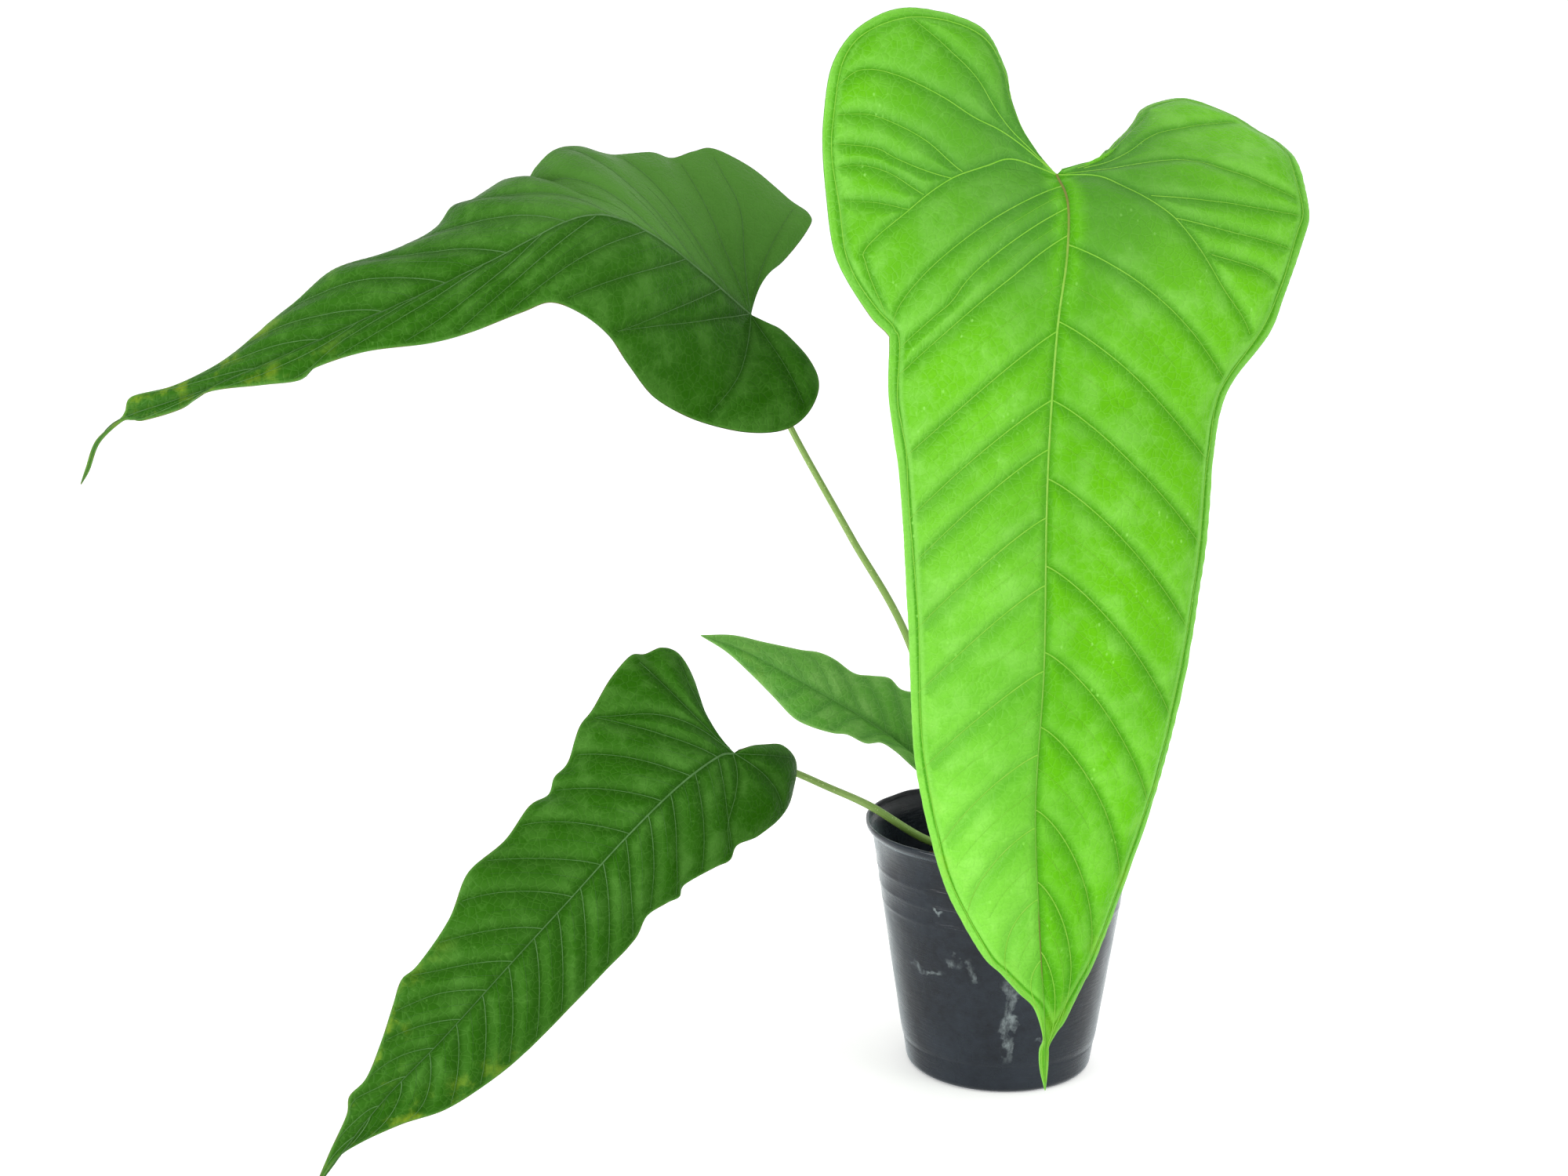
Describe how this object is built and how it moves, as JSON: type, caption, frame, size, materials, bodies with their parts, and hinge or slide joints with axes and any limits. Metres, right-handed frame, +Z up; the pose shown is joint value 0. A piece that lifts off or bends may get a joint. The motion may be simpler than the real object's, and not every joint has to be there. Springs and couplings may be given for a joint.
{
  "type": "potted anthurium",
  "caption": "Foliage plant with long heart-shaped leaves on thin arching stalks from a short crown, growing in a round black nursery pot.",
  "frame": {"origin": "centre of the pot's base, on the surface that the pot stands on", "axes": "+Z up; the largest leaf hangs on the -Y side of the pot with its upper face towards -Y, and the other leaves reach out towards -X"},
  "size_m": [0.4839, 0.2206, 0.4528],
  "materials": {
    "pot_plastic": "thin black plastic with a soft sheen",
    "potting_mix": "loose bark and peat",
    "crown_skin": "rough green-brown stem",
    "stalk_skin": "smooth, slightly glossy",
    "young_leaf": "bright green, satin",
    "mature_leaf": "dark green, satin",
    "mid_leaf": "mid green, satin"
  },
  "bodies": {
    "root": {"nursery_pot": "pot_plastic", "potting_mix": "potting_mix", "crown": "crown_skin", "leaf_stalk_front": "stalk_skin", "leaf_stalk_lower": "stalk_skin", "leaf_stalk_upper": "stalk_skin", "leaf_stalk_small": "stalk_skin", "leaf_blade_front": "young_leaf", "leaf_blade_lower": "mature_leaf", "leaf_blade_upper": "mature_leaf", "leaf_blade_small": "mid_leaf"}
  },
  "joints": []
}
